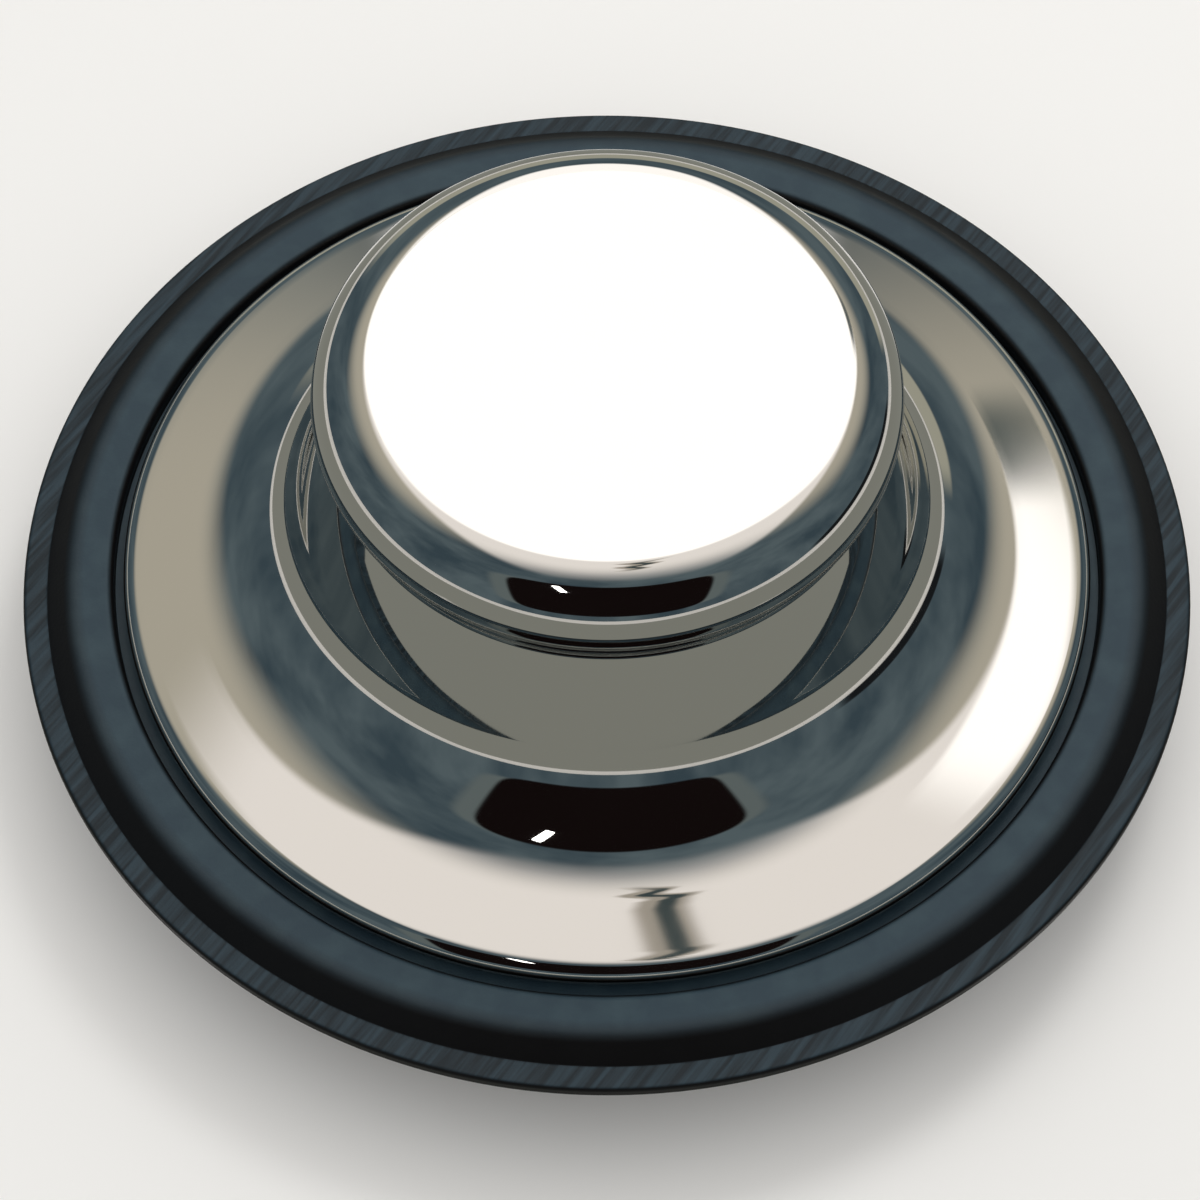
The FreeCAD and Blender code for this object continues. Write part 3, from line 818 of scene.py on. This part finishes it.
# glow: full inside and gone where the root of s and t to the power of the corner reaches 1, fading over the
# soft share; it falls away over the fall share towards t = -1, and its hole share stays open
def cardGlow(size, s, t):
    reach = (np.abs(s) ** size["corner"] + np.abs(t) ** size["corner"]) ** (1.0 / size["corner"])
    glow = eased((1.0 - reach) / size["soft"])
    if "fall" in size:
        glow = glow * eased((1.0 + t) / size["fall"])
    return glow * (reach > size.get("hole", -1.0))


# card: centre + s across + t along for s, t in -1..1, narrowed by the taper towards t = 1 and swung
# sideways by the wave
def makeCard(name, size):
    s, t = np.meshgrid(np.linspace(-1.0, 1.0, cardGrid), np.linspace(-1.0, 1.0, cardGrid))
    width = s * (1.0 - size.get("taper", 0.0) * t)
    points = np.array(size["centre"]) + width[..., None] * np.array(size["across"])
    points = points + t[..., None] * np.array(size["along"])
    swing, cycles = size.get("wave", (0.0, 0.0))
    points[..., 0] += swing * np.sin(2.0 * np.pi * cycles * t)
    i, j = np.meshgrid(np.arange(cardGrid - 1), np.arange(cardGrid - 1), indexing="ij")
    corner = (i * cardGrid + j).reshape(-1)
    faces = np.stack([corner, corner + 1, corner + cardGrid + 1, corner + cardGrid], -1)
    mesh = bpy.data.meshes.new(name)
    mesh.from_pydata(points.reshape(-1, 3).tolist(), [], faces.tolist())
    values = cardGlow(size, s, t).reshape(-1).astype(np.float32)
    mesh.attributes.new("glow", "FLOAT", "POINT").data.foreach_set("value", values)
    mesh.materials.append(glowingCloth(name, size))
    card = bpy.data.objects.new(name, mesh)
    scene.collection.objects.link(card)
    card.visible_camera = False
    card.visible_shadow = False
    card.visible_diffuse = name in lightingCards


# plain light of one colour where the card glows, clear where it doesn't
def glowingCloth(name, size):
    material = bpy.data.materials.new(name)
    material.use_nodes = True
    tree = material.node_tree
    tree.nodes.clear()
    glow = addNode(tree, "ShaderNodeAttribute", {"attribute_name": "glow"})
    light = addNode(tree, "ShaderNodeEmission", values={
        "Color": size["colour"], "Strength": size.get("strength", 1.0),
    })
    clear = addNode(tree, "ShaderNodeBsdfTransparent")
    mixed = addNode(tree, "ShaderNodeMixShader", feeds={
        "Fac": glow.outputs["Fac"], 1: clear.outputs["BSDF"], 2: light.outputs["Emission"],
    })
    addNode(tree, "ShaderNodeOutputMaterial", feeds={"Surface": mixed.outputs["Shader"]})
    return material


def makeFloor():
    half = studio["floorSize"] / 2.0
    corners = [(-half, -half, 0.0), (half, -half, 0.0), (half, half, 0.0), (-half, half, 0.0)]
    mesh = bpy.data.meshes.new("floor")
    mesh.from_pydata(corners, [], [(0, 1, 2, 3)])
    floor = bpy.data.objects.new("floor", mesh)
    scene.collection.objects.link(floor)
    material, tree, shader = newMaterial("floor_pale_paper", {
        "Base Color": fromHex(studio["floorColour"]),
        "Roughness": 0.9,
        "Specular IOR Level": 0.0,
    })
    mesh.materials.append(material)


def makePool():
    pool = bpy.data.lights.new("pool", "SPOT")
    pool.energy = studio["poolPower"]
    place = Vector(studio["poolPlace"])
    pool.spot_size = 2.0 * math.atan(studio["poolRadius"] / place.length)
    pool.spot_blend = studio["poolBlend"]
    pool.shadow_soft_size = studio["poolSoft"]
    lamp = bpy.data.objects.new("pool", pool)
    lamp.location = place
    lamp.rotation_mode = "QUATERNION"
    lamp.rotation_quaternion = (-place).to_track_quat("-Z", "Y")
    lamp.visible_glossy = False
    scene.collection.objects.link(lamp)


# even grey fill for the dull surfaces, the streaky room for what is seen straight or in a mirror
def makeRoom():
    world = bpy.data.worlds.new("room")
    scene.world = world
    world.use_nodes = True
    tree = world.node_tree
    around = addNode(tree, "ShaderNodeTexCoord")
    drawn = addNode(tree, "ShaderNodeMapping", values={"Scale": studio["roomStreak"]},
                    feeds={"Vector": around.outputs["Generated"]})
    streaks = addNode(tree, "ShaderNodeTexNoise", values={"Scale": 1.0, "Detail": 3.0},
                      feeds={"Vector": drawn.outputs["Vector"]})
    share = addNode(tree, "ShaderNodeMapRange", values={
        "From Min": studio["roomRange"][0], "From Max": studio["roomRange"][1],
    }, feeds={"Value": streaks.outputs["Fac"]})
    room = addNode(tree, "ShaderNodeMix", {"data_type": "RGBA"},
                   {"A": studio["roomDark"], "B": studio["roomPale"]}, {"Factor": share.outputs["Result"]})
    path = addNode(tree, "ShaderNodeLightPath")
    mirrored = addNode(tree, "ShaderNodeMath", {"operation": "ADD"},
                       feeds={0: path.outputs["Is Glossy Ray"], 1: path.outputs["Is Transmission Ray"]})
    shown = addNode(tree, "ShaderNodeMath", {"operation": "ADD", "use_clamp": True},
                    feeds={0: path.outputs["Is Camera Ray"], 1: mirrored.outputs["Value"]})
    sky = addNode(tree, "ShaderNodeMix", {"data_type": "RGBA"}, {"A": studio["fill"]},
                  {"Factor": shown.outputs["Value"], "B": room.outputs["Result"]})
    tree.links.new(sky.outputs["Result"], tree.nodes["Background"].inputs["Color"])


makeFloor()
for cardName, cardSize in cards.items():
    makeCard(cardName, cardSize)
makePool()
makeRoom()
print("studio made with", len(cards), "cards")

# Camera: where the photograph was taken from; height and aim in mm, lens and sensor in mm of film
view = {
    "elevation": 56.45,
    "distance": 0.300,
    "lens": 121.86,
    "sensor": 36.0,
    "clipStart": 0.005,
    "height": 9.4,
    "aim": (-0.50, -3.17),
}


def makeCamera():
    lens = bpy.data.cameras.new("camera")
    lens.sensor_width = view["sensor"]
    lens.lens = view["lens"]
    lens.clip_start = view["clipStart"]
    camera = bpy.data.objects.new("camera", lens)
    scene.collection.objects.link(camera)
    rise = math.radians(view["elevation"])
    centre = Vector((0.0, 0.0, view["height"] * mm))
    camera.location = centre + view["distance"] * Vector((0.0, -math.cos(rise), math.sin(rise)))
    aim = Vector((view["aim"][0] * mm, view["aim"][1] * mm, centre.z))
    camera.rotation_mode = "QUATERNION"
    camera.rotation_quaternion = (aim - camera.location).to_track_quat("-Z", "Y")
    scene.camera = camera


makeCamera()
scene.view_settings.view_transform = "Standard"
print("camera placed")
